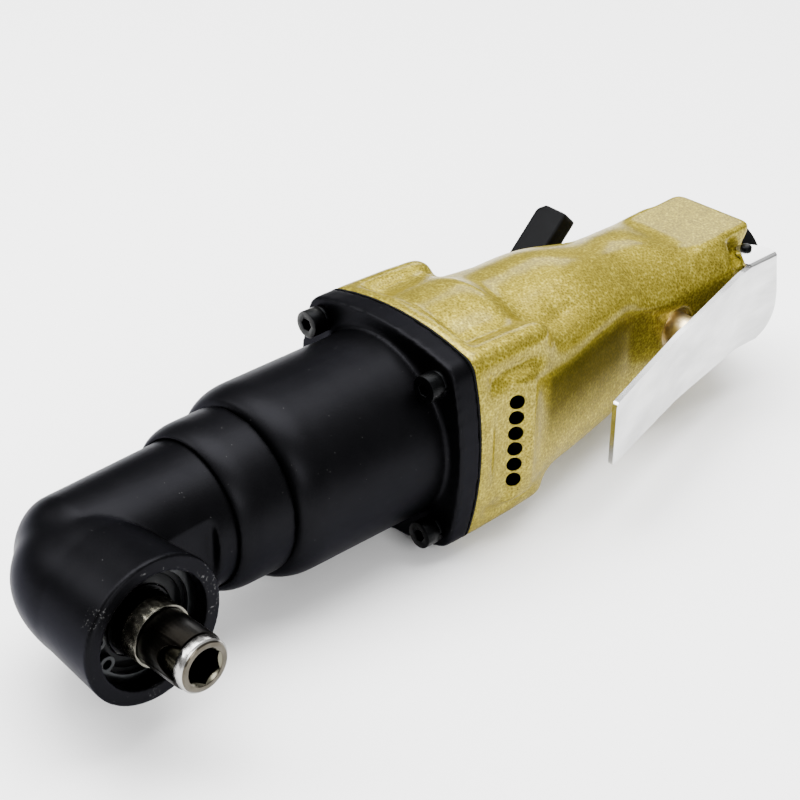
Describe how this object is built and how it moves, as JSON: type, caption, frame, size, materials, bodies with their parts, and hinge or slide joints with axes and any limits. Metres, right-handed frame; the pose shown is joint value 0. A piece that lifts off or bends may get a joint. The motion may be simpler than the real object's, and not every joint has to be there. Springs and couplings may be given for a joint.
{
  "type": "pneumatic screwdriver",
  "caption": "Right-angle pneumatic impact screwdriver with a lever throttle, reverse knob, bolted hammer case, elbow head and quick-change hex chuck.",
  "frame": {"origin": "centre of the air inlet's mouth", "axes": "+X along the tool from the inlet to the angle head, +Y the way the chuck points and the lever's side, +Z out of the label flat, up as the tool lies"},
  "size_m": [0.248, 0.0809, 0.0582],
  "materials": {
    "hammertone": "glossy hammertone enamel",
    "black_paint": "semi-matte black",
    "gasket_sheet": "matt sheet",
    "black_steel": "black oxide",
    "bright_steel": "ground steel",
    "lever_steel": "polished sheet",
    "gun_steel": "dark gunmetal",
    "spindle_steel": "turned and ground",
    "brass": "turned brass",
    "bronze": "sintered bronze",
    "motor_iron": "ground",
    "vane_fibre": "phenolic fibre",
    "o_ring": "nitrile",
    "knob_plastic": "black moulded",
    "screen_mesh": "stainless"
  },
  "bodies": {
    "housing": {"motor_housing": "hammertone", "case_gasket": "gasket_sheet", "hammer_case": "black_paint", "case_screws": "black_steel", "screw_washers": "black_steel", "neck_collar": "black_paint", "angle_head": "black_paint", "head_circlip": "black_steel", "air_inlet_bushing": "black_steel", "inlet_screen": "screen_mesh", "throttle_bush": "brass", "throttle_spring": "bright_steel", "lever_pin": "black_steel", "rear_end_plate": "motor_iron", "front_end_plate": "motor_iron", "motor_cylinder": "motor_iron", "rotor_bearing_outers": "bright_steel", "rotor_bearing_balls": "bright_steel", "anvil_bush": "bronze", "pinion_bearing_outers": "bright_steel", "pinion_bearing_balls": "bright_steel", "spindle_bearing_outer": "bright_steel", "spindle_bearing_balls": "bright_steel", "bearing_shield": "gun_steel", "tail_bush": "bronze"},
    "rotor": {"rotor": "motor_iron", "vanes": "vane_fibre", "rotor_bearing_inners": "bright_steel", "hammer_cage": "bright_steel", "hammers": "bright_steel", "hammer_pins": "bright_steel"},
    "anvil": {"anvil": "bright_steel", "bevel_pinion": "bright_steel", "pinion_bearing_inners": "bright_steel"},
    "spindle": {"spindle": "spindle_steel", "bevel_gear": "bright_steel", "gear_key": "bright_steel", "spindle_bearing_inner": "bright_steel", "lock_ball": "bright_steel", "chuck_spring": "bright_steel"},
    "sleeve": {"chuck_sleeve": "gun_steel"},
    "lever": {"lever": "lever_steel"},
    "valve": {"throttle_button": "brass", "button_oring": "o_ring", "throttle_valve": "o_ring"},
    "reverse": {"reverse_knob": "knob_plastic", "reverse_spool": "bright_steel", "reverse_orings": "o_ring", "knob_screw": "black_steel"}
  },
  "joints": [
    {"name": "rotor_spin", "type": "hinge", "parent": "housing", "child": "rotor", "pos_m": [0.098, 0, 0], "axis": [1, 0, 0], "continuous": true},
    {"name": "anvil_spin", "type": "hinge", "parent": "housing", "child": "anvil", "pos_m": [0.178, 0, 0], "axis": [1, 0, 0], "continuous": true},
    {"name": "spindle_spin", "type": "hinge", "parent": "housing", "child": "spindle", "pos_m": [0.2295, 0.02, 0], "axis": [0, 1, 0], "continuous": true},
    {"name": "sleeve_slide", "type": "slide", "parent": "spindle", "child": "sleeve", "axis": [0, -1, 0], "range_m": [0, 0.002], "stiffness_N_per_m": 800, "springref_m": -0.004, "deforming": ["chuck_spring"]},
    {"name": "lever_swing", "type": "hinge", "parent": "housing", "child": "lever", "pos_m": [0.0133, 0.0153, 0], "axis": [0, 0, -1], "range_deg": [0, 8], "stiffness_Nm_per_rad": 1, "springref_deg": -8.59},
    {"name": "valve_slide", "type": "slide", "parent": "housing", "child": "valve", "axis": [0, -1, 0], "range_m": [0, 0.0042], "deforming": ["throttle_spring"]},
    {"name": "reverse_turn", "type": "hinge", "parent": "housing", "child": "reverse", "pos_m": [0.0574, -0.02, 0], "axis": [0, -1, 0], "range_deg": [0, 90]}
  ],
  "couplings": [
    {"joint": "anvil_spin", "follows": "rotor_spin", "ratio": 1},
    {"joint": "spindle_spin", "follows": "rotor_spin", "ratio": 0.75},
    {"joint": "valve_slide", "follows": "lever_swing", "m_per_rad": 0.0279}
  ]
}
